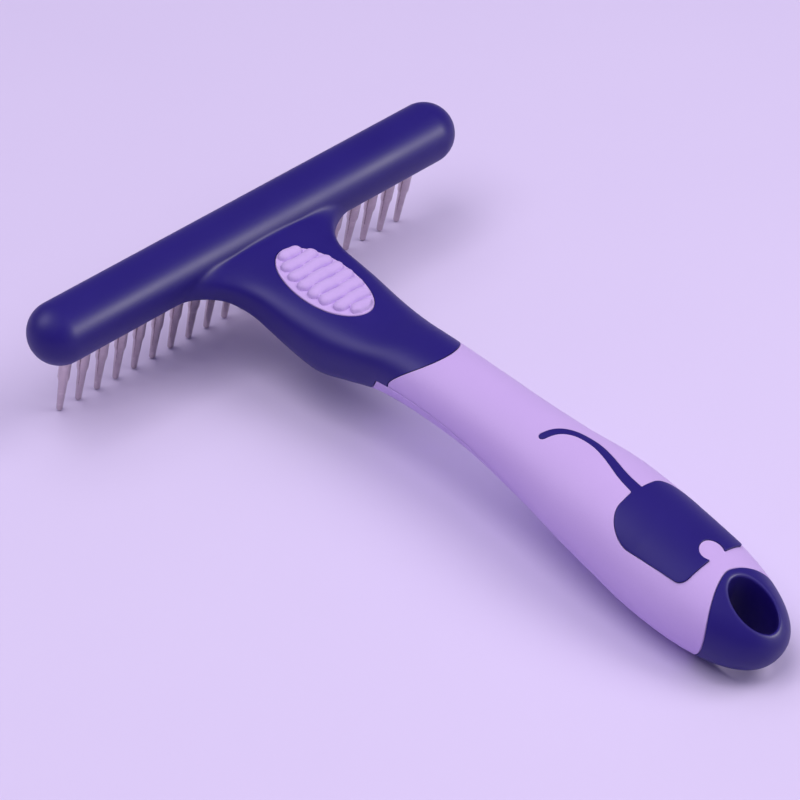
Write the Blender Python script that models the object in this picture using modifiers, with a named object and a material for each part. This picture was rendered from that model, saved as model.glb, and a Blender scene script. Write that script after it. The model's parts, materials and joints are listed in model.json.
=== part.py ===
"""Undercoat rake: a round bar of twenty stepped pins that turn, on a padded two-colour handle.

Lengths are in metres, +Z is up. The rake is drawn square, with the bar along X, the pins
pointing down and the handle running towards -Y. An empty on the bar's axis then leans it so
that it stands the way it lies on a table: on its pin tips and the underside of its butt.
"""
import math

import bmesh
import bpy
import numpy as np

# Fits
GAP = 0.0003                  # clearance left between any two pieces

# Pins
PIN_COUNT = 20
PIN_PITCH = 0.0050
PIN_REACH = 0.02635           # bar axis to pin tip
PIN_ROOT_RADIUS = 0.00137     # upper barrel, where it leaves the plate
PIN_WAIST_RADIUS = 0.00127    # upper barrel, at the shoulder
PIN_LOWER_RADIUS = 0.00098    # lower barrel, under the shoulder
PIN_TIP_RADIUS = 0.00068
SHOULDER_HEIGHT = 0.0091      # tip to the foot of the shoulder
SHOULDER_LENGTH = 0.0013
FLANGE_RADIUS = 0.0020
FLANGE_THICKNESS = 0.0008
STUB_RADIUS = 0.0008

# Bar
BAR_RADIUS = 0.0068
BAR_END = 0.0095              # last pin's axis to the tip of the bar's round end
FLAT_DEPTH = 0.0013           # how much of the round is taken off underneath
FLAT_MARGIN = 0.0015          # flat left beside the plate, on the neck's side
PLATE_THICKNESS = 0.0022
PLATE_HALF_WIDTH = 0.0027
PLATE_END = 0.0034            # last pin's axis to the end of the plate
STRIP_THICKNESS = 0.0018
STRIP_HALF_WIDTH = 0.0022

# Neck, grip and butt lie one behind the other along the handle
NECK_LENGTH = 0.056           # bar axis to the middle of the collar line
GRIP_LENGTH = 0.064           # collar line to the widest point of the handle
BUTT_LENGTH = 0.0320          # widest point to the end of the butt
BUTT_POWER = 2.4              # roundness of the butt's outline, 2 is an ellipse
BUTT_CENTRE = 0.0176          # height of the handle's middle over the bar axis, at its widest
BUTT_HALF_HEIGHT = 0.0110     # at the widest point
BUTT_SLOPE = 0.065            # rise of the butt's middle with length
GRIP_HALF_WIDTH = 0.0124      # at the widest point
GRIP_WALL = 0.0024
PARTING_ANGLE = math.radians(-4)   # the line between the grips, seen along the handle
PARTING_END = math.radians(-36)    # the same at the widest point, where it has run down the side
PARTING_BLEND = math.radians(3)    # turn over which the collar line steps at the parting

# Collar line, where the neck meets the grips
COLLAR_SIDE = 0.0034          # how far the collar's sides lie ahead of its middle
COLLAR_TOP_BULGE = 0.0064     # how far the collar reaches back over the top
COLLAR_TOP_POWER = 1.4
LOWER_COLLAR_STEP = 0.0031    # how much further forward the lower grip starts
LOWER_COLLAR_BULGE = 0.0050

# End cap
CAP_TOP_LENGTH = 0.0164       # cap line to the end of the butt, along the top
CAP_SIDE_SETBACK = 0.0060     # how far the cap line falls back at the sides
CAP_SIDE_POWER = 1.5
PLUG_LENGTH = 0.0100          # length of the cap's plug inside the grips
HOLE_HALF_WIDTH = 0.0041
HOLE_HALF_LENGTH = 0.0059
HOLE_FROM_END = 0.0081        # centre of the hanging hole to the end of the butt

# Thumb pad
PAD_CENTRE = 0.02375          # behind the bar axis
PAD_OFFSET = -0.00025         # off the handle's middle
PAD_HALF_LENGTH = 0.0131
PAD_HALF_WIDTH = 0.00685
PAD_DEPTH = 0.0020
PAD_PROUD = 0.0003

# Inlay in the upper grip
INLAY_DEPTH = 0.0012
PANEL_FROM_END = 0.0200       # back edge of the panel to the end of the butt
PANEL_LENGTH = 0.0209
PANEL_OFFSET = 0.00015
PANEL_FRONT_HALF_WIDTH = 0.0099
PANEL_BACK_HALF_WIDTH = 0.0087
PANEL_CORNER_WIDTH = 0.0055
PANEL_CORNER_LENGTH = 0.0080
PANEL_BACK_CORNER = 0.0018
NOTCH_RADIUS = 0.0026
NOTCH_OFFSET = 0.0008
NOTCH_INSET = 0.0015          # centre of the notch to the back edge
STRIPE_HALF_WIDTH = 0.00082
STRIPE_ROOT_HALF_WIDTH = 0.00125

# Cutters
LAYER_MARGIN = 0.0018         # how far a cutting layer reaches past the piece it shapes
OPENING = 0.0040              # how far a pocket's cutter stands out of the skin
THROUGH = 0.0600              # half height of a prism that passes right through the handle
TOP_SIDE = math.radians(14)   # side of the cutting layers over the handle's top

# Fineness of the meshes
PIN_SIDES = 10
BAR_SIDES = 24
DOME_POINTS = 6
NECK_ROWS = 14
TANG_ROWS = 14
GRIP_ROWS = 16
UPPER_COLUMNS = 19
LOWER_COLUMNS = 15
CROWDING = 1.5                # how much closer the rows lie near the collar, 1 is even
PAD_SIDES = 28
PAD_ROWS = 8
INLAY_ROWS = 9
TOP_COLUMNS = 15
PLUG_ROWS = 3
BUTT_ROWS = 9
BUTT_LAST_ROW = 0.96          # share of the quarter turn from the butt's start to its pole
HOLE_SIDES = 24

# Worked-out sizes, measured from the bar axis
LAST_PIN = (PIN_COUNT - 1) * PIN_PITCH / 2
BAR_HALF_LENGTH = LAST_PIN + BAR_END
BAR_FLAT = BAR_RADIUS - FLAT_DEPTH
PLATE_TOP = -BAR_FLAT + PLATE_THICKNESS
FLANGE_BOTTOM = PLATE_TOP + GAP
FLANGE_TOP = FLANGE_BOTTOM + FLANGE_THICKNESS
STRIP_BOTTOM = FLANGE_TOP + GAP
STRIP_TOP = STRIP_BOTTOM + STRIP_THICKNESS
CHAMBER_TOP = STRIP_TOP + GAP
WIDEST = NECK_LENGTH + GRIP_LENGTH
HANDLE_END = WIDEST + BUTT_LENGTH
CAP_FRONT = HANDLE_END - CAP_TOP_LENGTH
PLUG_FRONT = CAP_FRONT - PLUG_LENGTH
TANG_END = PLUG_FRONT - GAP
CORE_INSET = GRIP_WALL + GAP
PANEL_BACK = HANDLE_END - PANEL_FROM_END
PANEL_FRONT = PANEL_BACK - PANEL_LENGTH

# The handle's sections: place along it, half width, top, underside, squareness.
# The place is a share of the neck's length, then of the grip's length.
NECK_STATIONS = (
    (0.07, 0.0212, 0.44 * BAR_RADIUS, -0.70 * BAR_RADIUS, 2.4),
    (0.125, 0.0188, 0.48 * BAR_RADIUS, -0.80 * BAR_RADIUS, 2.5),
    (0.214, 0.0142, 0.56 * BAR_RADIUS, -0.94 * BAR_RADIUS, 2.7),
    (0.32, 0.0124, 0.0051, -0.0070, 2.9),
    (0.464, 0.0123, 0.0067, -0.0076, 2.7),
    (0.607, 0.0117, 0.0082, -0.0080, 2.6),
    (0.75, 0.0102, 0.0106, -0.0045, 2.5),
    (0.893, 0.0089, 0.0142, -0.0010, 2.2),
)
GRIP_STATIONS = (
    (0.094, 0.0087, 0.0177, 0.0024, 2.05),
    (0.297, 0.0089, 0.0206, 0.0050, 2.0),
    (0.531, 0.0100, 0.0238, 0.0061, 2.0),
    (0.766, 0.0118, 0.0273, 0.0067, 2.0),
    (1.0, GRIP_HALF_WIDTH, BUTT_CENTRE + BUTT_HALF_HEIGHT, BUTT_CENTRE - BUTT_HALF_HEIGHT, 2.0),
)

# The stripe's centre line: across the handle, and ahead of the panel's front edge
STRIPE_HOOK = (
    (-0.0031, 0.0229), (-0.0006, 0.0221), (0.0015, 0.0204), (0.0027, 0.0178), (0.0029, 0.0146),
    (0.0023, 0.0113), (0.0011, 0.0073), (0.0001, 0.0035), (-0.0003, -0.0008),
)
STRIPE_PLACES = 21


class Shop:
    """Where the pieces and cutters go, the empty that leans them, and their finishes."""

    def __init__(self):
        for thing in list(bpy.data.objects):
            bpy.data.objects.remove(thing, do_unlink=True)
        self.parts = bpy.data.collections.new("undercoat_rake")
        self.cutters = bpy.data.collections.new("cutters")
        bpy.context.scene.collection.children.link(self.parts)
        bpy.context.scene.collection.children.link(self.cutters)
        self.stand = bpy.data.objects.new("bar_axis", None)
        self.parts.objects.link(self.stand)
        self.navy = finish("navy_plastic", (0.024, 0.015, 0.185), 0.38)
        self.lavender = finish("lavender_rubber", (0.57, 0.42, 0.86), 0.60)
        self.steel = finish("pin_steel", (0.45, 0.38, 0.42), 0.28, 1.0)

    def place(self, thing, collection):
        for other in list(thing.users_collection):
            other.objects.unlink(thing)
        collection.objects.link(thing)
        thing.parent = self.stand
        return thing

    def part(self, thing, material):
        """Keep an object as a piece of the rake, in its finish."""
        thing.data.materials.clear()
        thing.data.materials.append(material)
        return self.place(thing, self.parts)

    def cutter(self, thing):
        thing.hide_render = True
        thing.display_type = "WIRE"
        return self.place(thing, self.cutters)


def finish(name, colour, roughness, metallic=0.0):
    material = bpy.data.materials.new(name)
    material.use_nodes = True
    shader = material.node_tree.nodes["Principled BSDF"]
    shader.inputs["Base Color"].default_value = (*colour, 1)
    shader.inputs["Roughness"].default_value = roughness
    shader.inputs["Metallic"].default_value = metallic
    return material


# The handle's form


def stations():
    """Every section of the handle, with its place in metres behind the bar axis."""
    neck = [(share * NECK_LENGTH, *sizes) for share, *sizes in NECK_STATIONS]
    grip = [(NECK_LENGTH + share * GRIP_LENGTH, *sizes) for share, *sizes in GRIP_STATIONS]
    return np.array(neck + grip)


def smooth_through(knots, values, places):
    """Cubic curve through the values, which never overshoots between two of them."""
    steps = np.diff(knots)
    slopes = np.diff(values) / steps
    inner = np.zeros(len(slopes) - 1)
    same = slopes[:-1] * slopes[1:] > 0
    inner[same] = 2 / (1 / slopes[:-1][same] + 1 / slopes[1:][same])
    tangents = np.concatenate([slopes[:1], inner, slopes[-1:]])
    tangents[-1] = 0 if values[-1] == values.max() else tangents[-1]
    places = np.clip(places, knots[0], knots[-1])
    left = np.clip(np.searchsorted(knots, places, side="right") - 1, 0, len(steps) - 1)
    step = steps[left]
    t = (places - knots[left]) / step
    return ((1 + 2 * t) * (1 - t) ** 2 * values[left]
            + t * (1 - t) ** 2 * step * tangents[left]
            + t ** 2 * (3 - 2 * t) * values[left + 1]
            - t ** 2 * (1 - t) * step * tangents[left + 1])


def butt_share(places):
    """How much of its full width the handle keeps, past its widest point."""
    past = np.clip((places - WIDEST) / BUTT_LENGTH, 0, 1)
    return (1 - past ** BUTT_POWER) ** (1 / BUTT_POWER)


def section(places):
    """Half width, middle height, half height and squareness of the handle at these places."""
    table = stations()
    wide, top, low, power = (smooth_through(table[:, 0], table[:, k], places) for k in (1, 2, 3, 4))
    share = butt_share(places)
    rise = np.clip(places - WIDEST, 0, None) * BUTT_SLOPE
    return wide * share, (top + low) / 2 + rise, (top - low) / 2 * share, power


def handle_points(places, angles, inset=0.0):
    """Points on the handle, or so far under its surface. Angle 0 is +X and a quarter turn is up."""
    wide, middle, high, power = section(places)
    across = np.cos(angles)
    up = np.sin(angles)
    x = (wide - inset) * np.sign(across) * np.abs(across) ** (2 / power)
    z = middle + (high - inset) * np.sign(up) * np.abs(up) ** (2 / power)
    return np.stack([x, -places + 0 * x, z], axis=-1)


def upper_collar(angles):
    """Front edge of the upper grip, bowed back over the top."""
    side = NECK_LENGTH - COLLAR_SIDE
    return side + COLLAR_TOP_BULGE * np.abs(np.sin(angles)) ** COLLAR_TOP_POWER


def lower_collar(angles):
    """Front edge of the lower grip, bowed forward underneath."""
    side = NECK_LENGTH - COLLAR_SIDE - LOWER_COLLAR_STEP
    return side - LOWER_COLLAR_BULGE * np.sin(angles) ** 2


def collar_line(angles):
    """The grips' whole front edge, which steps from one line to the other at the parting."""
    above_parting = np.minimum(angles, math.pi - angles) - PARTING_ANGLE
    blend = np.clip(above_parting / PARTING_BLEND, 0, 1)
    return lower_collar(angles) + (upper_collar(angles) - lower_collar(angles)) * blend


def parting(places):
    """Angle of the line between the grips, which runs down the side on its way to the butt."""
    share = np.clip((places - NECK_LENGTH) / GRIP_LENGTH, 0, 1)
    return PARTING_ANGLE + (PARTING_END - PARTING_ANGLE) * share ** 2 * (3 - 2 * share)


def cap_line(angles):
    """Where the end cap starts, further back at the sides than over the top."""
    return CAP_FRONT + CAP_SIDE_SETBACK * np.abs(np.cos(angles)) ** CAP_SIDE_POWER


def ring_angles():
    """Angles round a whole section, with a column at each side of the two parting lines."""
    above = PARTING_ANGLE + PARTING_BLEND
    upper = np.linspace(above, math.pi - above, UPPER_COLUMNS - 2)
    lower = np.linspace(math.pi - PARTING_ANGLE, 2 * math.pi + PARTING_ANGLE, LOWER_COLUMNS)
    return np.concatenate([upper, lower])


def rows_between(first, last, count, angles, inset=0.0, crowding=1.0):
    """Rings of points from one line round the handle to another."""
    shares = np.linspace(0, 1, count)[:, None] ** crowding
    places = first + (last - first) * shares + 0 * angles
    return handle_points(places, np.broadcast_to(angles, places.shape), inset)


# Meshes


def mesh_object(name, points, faces):
    """Closed mesh from points and faces, with its faces turned outwards."""
    mesh = bpy.data.meshes.new(name)
    mesh.from_pydata(np.asarray(points).tolist(), [], faces)
    shape = bmesh.new()
    shape.from_mesh(mesh)
    bmesh.ops.remove_doubles(shape, verts=shape.verts, dist=1e-6)
    bmesh.ops.recalc_face_normals(shape, faces=shape.faces)
    shape.to_mesh(mesh)
    shape.free()
    mesh.shade_smooth()
    mesh.set_sharp_from_angle(angle=math.radians(35))
    return bpy.data.objects.new(name, mesh)


def skin(name, rings, pole=None):
    """Loft through rings of points. Each end is closed by a strip across it, or by a pole."""
    rows, columns, _ = rings.shape
    faces = []
    for row in range(rows - 1):
        for column in range(columns):
            after = (column + 1) % columns
            low = row * columns
            high = low + columns
            faces.append((low + column, low + after, high + after, high + column))
    points = rings.reshape(-1, 3)
    last = (rows - 1) * columns
    ends = [0]
    if pole is None:
        ends.append(last)
    else:
        points = np.vstack([points, pole])
        for column in range(columns):
            faces.append((last + column, last + (column + 1) % columns, rows * columns))
    for start in ends:
        for column in range(columns // 2 - 1):
            near = start + column
            far = start + columns - 1 - column
            faces.append((near, near + 1, far - 1, far))
    return mesh_object(name, points, faces)


def wall_patch(name, places, angles, outer, inner):
    """Piece of the handle's wall between two insets, over a grid of places and angles."""
    outside = handle_points(places, angles, outer)
    inside = handle_points(places, angles, inner)
    return skin(name, np.concatenate([outside, inside[:, ::-1]], axis=1))


def top_layer(name, front, back, count, outer, inner):
    """Layer of the handle's top between two places and two insets."""
    angles = np.linspace(TOP_SIDE, math.pi - TOP_SIDE, TOP_COLUMNS)
    places, angles = np.meshgrid(np.linspace(front, back, count), angles, indexing="ij")
    return wall_patch(name, places, angles, outer, inner)


def grip_shell(name, collar, sides, columns):
    """Shell from a collar line to the cap line, between the two sides that its place gives.

    The sides depend on the place and the lines on the angle, so both are worked out in turn.
    """
    along = np.linspace(0, 1, GRIP_ROWS)[:, None] ** CROWDING
    across = np.linspace(0, 1, columns)
    places = np.full((GRIP_ROWS, columns), NECK_LENGTH)
    for _ in range(4):
        low, high = sides(places)
        angles = low + (high - low) * across
        first = collar(angles[0]) + GAP / 2
        last = cap_line(angles[-1]) - GAP / 2
        places = first + (last - first) * along
    return wall_patch(name, places, angles, 0.0, GRIP_WALL)


def oval_arc(centre, radii, start, end, count):
    turn = np.linspace(math.radians(start), math.radians(end), count)
    return [(centre[0] + radii[0] * math.cos(a), centre[1] + radii[1] * math.sin(a)) for a in turn]


def arc(centre, radius, start, end, count):
    return oval_arc(centre, (radius, radius), start, end, count)


def circle(x, y, radius, sides):
    return arc((x, y), radius, 0, 360 - 360 / sides, sides)


def stadium(half_length, half_width):
    middle = half_length - half_width
    right = arc((middle, 0), half_width, -90, 90, 7)
    left = arc((-middle, 0), half_width, 90, 270, 7)
    return right + left


def flat_plate(name, outlines, bottom, top):
    """Plate of even thickness from flat outlines: the first is its edge, the others are holes."""
    curve = bpy.data.curves.new(name, "CURVE")
    curve.dimensions = "2D"
    curve.fill_mode = "BOTH"
    curve.extrude = (top - bottom) / 2
    for outline in outlines:
        spline = curve.splines.new("POLY")
        spline.points.add(len(outline) - 1)
        spline.points.foreach_set("co", np.array([(x, y, 0, 1) for x, y in outline]).ravel())
        spline.use_cyclic_u = True
    flat = bpy.data.objects.new(name + "_outline", curve)
    bpy.context.scene.collection.objects.link(flat)
    graph = bpy.context.evaluated_depsgraph_get()
    mesh = bpy.data.meshes.new_from_object(flat.evaluated_get(graph))
    bpy.data.objects.remove(flat)
    bpy.data.curves.remove(curve)
    shape = bmesh.new()
    shape.from_mesh(mesh)
    bmesh.ops.remove_doubles(shape, verts=shape.verts, dist=1e-6)
    bmesh.ops.translate(shape, verts=shape.verts, vec=(0, 0, (top + bottom) / 2))
    bmesh.ops.recalc_face_normals(shape, faces=shape.faces)
    shape.to_mesh(mesh)
    shape.free()
    mesh.name = name
    return bpy.data.objects.new(name, mesh)


def turned(name, profile, sides):
    """Solid of revolution about Z from (radius, height) points, from the top down."""
    mesh = bpy.data.meshes.new(name)
    edges = [(k, k + 1) for k in range(len(profile) - 1)]
    mesh.from_pydata([(radius, 0, height) for radius, height in profile], edges, [])
    body = bpy.data.objects.new(name, mesh)
    screw = body.modifiers.new("turn", "SCREW")
    screw.axis = "Z"
    screw.steps = sides
    screw.render_steps = sides
    screw.use_merge_vertices = True
    screw.merge_threshold = 1e-5
    screw.use_smooth_shade = True
    return body


def box(name, low, high):
    bpy.ops.mesh.primitive_cube_add(size=1)
    cube = bpy.context.object
    cube.name = name
    middle = [(a + b) / 2 for a, b in zip(low, high)]
    size = [b - a for a, b in zip(low, high)]
    for vertex in cube.data.vertices:
        vertex.co = [m + s * c for m, s, c in zip(middle, size, vertex.co)]
    return cube


def boolean(body, other, operation):
    change = body.modifiers.new(operation.lower(), "BOOLEAN")
    change.operation = operation
    change.solver = "EXACT"
    change.object = other


# Pieces


def bar_blank(name):
    """Round bar along X with hemispherical ends, turned about Z and laid over."""
    straight = BAR_HALF_LENGTH - BAR_RADIUS
    dome = arc((0, straight), BAR_RADIUS, 90, 0, DOME_POINTS)
    dome[0] = (0, BAR_HALF_LENGTH)
    foot = [(radius, -height) for radius, height in reversed(dome)]
    blank = turned(name, dome + foot, BAR_SIDES)
    blank.rotation_euler = (0, math.pi / 2, 0)
    return blank


def head_frame(shop):
    """Bar, neck and tang in one moulding, with the seat and the chamber for the pins."""
    angles = ring_angles()
    start = NECK_STATIONS[0][0] * NECK_LENGTH + 0 * angles
    collar = collar_line(angles) - GAP / 2
    neck = rows_between(start, collar, NECK_ROWS, angles)
    tang = rows_between(collar, TANG_END + 0 * angles, TANG_ROWS, angles, CORE_INSET, CROWDING)
    neck_and_tang = skin("neck_and_tang", np.concatenate([neck, tang]))
    head = shop.part(bar_blank("head_frame"), shop.navy)
    boolean(head, shop.cutter(neck_and_tang), "UNION")

    flat_back = PLATE_HALF_WIDTH + FLAT_MARGIN
    under = box("bar_flat_cut", (-BAR_HALF_LENGTH, -flat_back, -2 * BAR_RADIUS),
                (BAR_HALF_LENGTH, 2 * BAR_RADIUS, -BAR_FLAT))
    seat = flat_plate("plate_seat_cut", [stadium(LAST_PIN + PLATE_END + GAP, PLATE_HALF_WIDTH + GAP)],
                      -2 * BAR_RADIUS, FLANGE_BOTTOM)
    chamber = flat_plate("pin_chamber_cut", [stadium(LAST_PIN + PLATE_END - GAP, STRIP_HALF_WIDTH + GAP)],
                         PLATE_TOP - PLATE_THICKNESS / 2, CHAMBER_TOP)
    for cut in (under, seat, chamber):
        boolean(head, shop.cutter(cut), "DIFFERENCE")
    return head


def pad_outline(grow=0.0):
    turn = np.linspace(0, 2 * math.pi, PAD_SIDES, endpoint=False)
    x = PAD_OFFSET + (PAD_HALF_WIDTH + grow) * np.cos(turn)
    y = (PAD_HALF_LENGTH + grow) * np.sin(turn) - PAD_CENTRE
    return list(zip(x, y))


def thumb_pad(shop, head):
    """Oval pad let into the top of the neck, and the pocket for it."""
    front = PAD_CENTRE - PAD_HALF_LENGTH - LAYER_MARGIN
    back = PAD_CENTRE + PAD_HALF_LENGTH + LAYER_MARGIN
    pad = shop.part(flat_plate("thumb_pad", [pad_outline()], -THROUGH, THROUGH), shop.lavender)
    layer = top_layer("pad_layer", front, back, PAD_ROWS, -PAD_PROUD, PAD_DEPTH)
    boolean(pad, shop.cutter(layer), "INTERSECT")
    pocket = shop.cutter(flat_plate("pad_pocket", [pad_outline(GAP)], -THROUGH, THROUGH))
    layer = top_layer("pad_pocket_layer", front, back, PAD_ROWS, -OPENING, PAD_DEPTH + GAP)
    boolean(pocket, shop.cutter(layer), "INTERSECT")
    boolean(head, pocket, "DIFFERENCE")


def pin_places():
    return [PIN_PITCH * k - LAST_PIN for k in range(PIN_COUNT)]


def pin_holders(shop):
    """Plate under the flanges, with the holes the pins hang through, and strip over them."""
    holes = [circle(x, 0, PIN_ROOT_RADIUS + GAP, 12) for x in pin_places()]
    edge = stadium(LAST_PIN + PLATE_END, PLATE_HALF_WIDTH)
    shop.part(flat_plate("pin_plate", [edge] + holes, -BAR_FLAT, PLATE_TOP), shop.navy)
    bores = [circle(x, 0, STUB_RADIUS + GAP, 8) for x in pin_places()]
    edge = stadium(LAST_PIN + PLATE_END - 2 * GAP, STRIP_HALF_WIDTH)
    shop.part(flat_plate("pin_strip", [edge] + bores, STRIP_BOTTOM, STRIP_TOP), shop.navy)


def pins(shop):
    """Turned pins: stub, flange, upper barrel, shoulder, lower barrel and round tip."""
    foot = SHOULDER_HEIGHT - PIN_REACH
    tip = arc((0, PIN_TIP_RADIUS - PIN_REACH), PIN_TIP_RADIUS, 0, -90, 3)
    tip[-1] = (0, -PIN_REACH)
    stub_top = STRIP_TOP - GAP
    profile = [(0, stub_top), (STUB_RADIUS, stub_top), (STUB_RADIUS, FLANGE_TOP),
               (FLANGE_RADIUS, FLANGE_TOP), (FLANGE_RADIUS, FLANGE_BOTTOM),
               (PIN_ROOT_RADIUS, FLANGE_BOTTOM), (PIN_WAIST_RADIUS, foot + SHOULDER_LENGTH),
               (PIN_LOWER_RADIUS, foot)]
    for number, x in enumerate(pin_places(), start=1):
        pin = shop.part(turned(f"pin_{number:02d}", profile + tip, PIN_SIDES), shop.steel)
        pin.location = (x, 0, 0)


def grips(shop):
    """Upper and lower grip, two shells that close round the tang along the parting line."""
    half_gap = GAP / 2 / GRIP_HALF_WIDTH

    def above(places):
        edge = parting(places) + half_gap
        return edge, math.pi - edge

    def below(places):
        edge = parting(places) - half_gap
        return math.pi - edge, 2 * math.pi + edge

    upper = grip_shell("upper_grip", upper_collar, above, UPPER_COLUMNS)
    lower = grip_shell("lower_grip", lower_collar, below, LOWER_COLUMNS)
    shop.part(lower, shop.lavender)
    return shop.part(upper, shop.lavender)


def panel_outline(grow=0.0):
    """Rounded panel with a round notch in its back edge."""
    back = -PANEL_BACK - grow
    front = -PANEL_FRONT + grow
    wide = PANEL_FRONT_HALF_WIDTH + grow
    narrow = PANEL_BACK_HALF_WIDTH + grow
    corner = (PANEL_CORNER_WIDTH + grow, PANEL_CORNER_LENGTH + grow)
    small = PANEL_BACK_CORNER + grow
    radius = NOTCH_RADIUS - grow
    notch = (NOTCH_OFFSET, NOTCH_INSET - PANEL_BACK)
    mouth = math.degrees(math.asin((notch[1] - back) / radius))
    middle = PANEL_OFFSET
    outline = arc((middle + narrow - small, back + small), small, -90, -5, 4)
    outline += oval_arc((middle + wide - corner[0], front - corner[1]), corner, 5, 90, 7)
    outline += oval_arc((middle + corner[0] - wide, front - corner[1]), corner, 90, 175, 7)
    outline += arc((middle + small - narrow, back + small), small, 185, 270, 4)
    outline += arc(notch, radius, 180 + mouth, -mouth, 11)
    return outline


def stripe_outline(grow=0.0):
    """Band along the stripe's centre line that widens towards the panel, with a rounded tip."""
    knots = np.array([(x, ahead - PANEL_FRONT) for x, ahead in STRIPE_HOOK])
    places = np.arange(len(knots), dtype=float)
    fine = np.linspace(0, len(knots) - 1, STRIPE_PLACES)
    centre = np.stack([smooth_through(places, knots[:, k], fine) for k in (0, 1)], axis=1)
    along = np.gradient(centre, axis=0)
    along /= np.linalg.norm(along, axis=1)[:, None]
    side = np.stack([along[:, 1], -along[:, 0]], axis=1)
    widening = (STRIPE_ROOT_HALF_WIDTH - STRIPE_HALF_WIDTH) * (fine / fine[-1]) ** 3
    width = (STRIPE_HALF_WIDTH + widening + grow)[:, None]
    lead = math.degrees(math.atan2(-along[0, 1], -along[0, 0]))
    tip = arc(centre[0], STRIPE_HALF_WIDTH + grow, lead - 60, lead + 60, 3)
    left = [tuple(point) for point in (centre - side * width)[::-1]]
    right = [tuple(point) for point in centre + side * width]
    return left + tip + right


def inlay_shape(name, grow, outer, inner):
    """Panel and stripe as one layer of the handle's top, with the two things that trim it."""
    panel = flat_plate(name, [panel_outline(grow)], 0, THROUGH)
    stripe = flat_plate(name + "_stripe", [stripe_outline(grow)], 0, THROUGH)
    stripe_reach = STRIPE_HOOK[0][1] + STRIPE_HALF_WIDTH
    layer = top_layer(name + "_layer", PANEL_FRONT - stripe_reach - LAYER_MARGIN,
                      PANEL_BACK + LAYER_MARGIN, INLAY_ROWS, outer, inner)
    return panel, stripe, layer


def grip_inlay(shop, upper_grip):
    """Plain rounded panel with a hooked stripe, let into the upper grip, and its pocket."""
    inlay, stripe, layer = inlay_shape("grip_inlay", 0.0, 0.0, INLAY_DEPTH)
    shop.part(inlay, shop.navy)
    boolean(inlay, shop.cutter(stripe), "UNION")
    boolean(inlay, shop.cutter(layer), "INTERSECT")
    pocket, groove, layer = inlay_shape("inlay_pocket", GAP, -OPENING, INLAY_DEPTH + GAP)
    shop.cutter(pocket)
    boolean(pocket, shop.cutter(groove), "UNION")
    boolean(pocket, shop.cutter(layer), "INTERSECT")
    boolean(upper_grip, pocket, "DIFFERENCE")


def hanging_hole():
    """Oval cylinder through the butt, leaned with the butt's middle."""
    bpy.ops.mesh.primitive_cylinder_add(vertices=HOLE_SIDES, radius=1, depth=1)
    hole = bpy.context.object
    hole.name = "hanging_hole_cut"
    hole.scale = (HOLE_HALF_WIDTH, HOLE_HALF_LENGTH, THROUGH)
    hole.location = (0, HOLE_FROM_END - HANDLE_END, BUTT_CENTRE)
    hole.rotation_euler = (-math.atan(BUTT_SLOPE), 0, 0)
    return hole


def end_cap(shop):
    """A plug inside the grips, then the outside of the butt, with the hanging hole through it."""
    angles = ring_angles()
    start = cap_line(angles) + GAP / 2
    plug = rows_between(PLUG_FRONT + 0 * angles, start, PLUG_ROWS, angles, CORE_INSET)
    first = np.arcsin(((start - WIDEST) / BUTT_LENGTH) ** (BUTT_POWER / 2))
    shares = np.linspace(0, BUTT_LAST_ROW, BUTT_ROWS)[:, None]
    turns = first + (math.pi / 2 - first) * shares
    places = WIDEST + BUTT_LENGTH * np.sin(turns) ** (2 / BUTT_POWER)
    butt = handle_points(places, np.broadcast_to(angles, places.shape))
    pole = handle_points(np.array([HANDLE_END]), np.array([0.0]))
    cap = shop.part(skin("end_cap", np.concatenate([plug, butt]), pole), shop.navy)
    boolean(cap, shop.cutter(hanging_hole()), "DIFFERENCE")


def stand_up(shop):
    """Lean the rake onto its pin tips and its butt, over the middle of its footprint."""
    places = np.linspace(NECK_LENGTH, HANDLE_END, 400)
    underside = handle_points(places, np.full(len(places), -math.pi / 2))[:, 2]
    lean = float(np.min(np.arctan2(underside + PIN_REACH, places)))
    butt = handle_points(np.linspace(WIDEST, HANDLE_END, 200)[:, None], np.linspace(-math.pi, math.pi, 73))
    back = float(np.min(butt[..., 1] * math.cos(lean) - butt[..., 2] * math.sin(lean)))
    tip_front = PIN_REACH * math.sin(lean) + PIN_TIP_RADIUS * (1 - math.sin(lean))
    front = max(BAR_RADIUS, tip_front)
    shop.stand.location = (0, -(front + back) / 2, PIN_REACH * math.cos(lean))
    shop.stand.rotation_euler = (lean, 0, 0)


def build():
    shop = Shop()
    head = head_frame(shop)
    thumb_pad(shop, head)
    pin_holders(shop)
    pins(shop)
    upper_grip = grips(shop)
    grip_inlay(shop, upper_grip)
    end_cap(shop)
    stand_up(shop)


build()
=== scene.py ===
# %% [markdown]
# # An undercoat rake, surface by surface
# An undercoat rake is a T-shaped grooming tool. Twenty stepped steel pins hang from a round
# bar, and each of them can turn, so that it combs loose fur without cutting or pulling. The
# bar runs into a neck, and two soft grips clamp round the neck's tang. This notebook takes
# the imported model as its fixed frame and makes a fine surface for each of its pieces.

# %% Load the frame
import json
import math

import bmesh
import bpy
import numpy as np
from mathutils import Matrix, Vector
from mathutils.geometry import delaunay_2d_cdt


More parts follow.
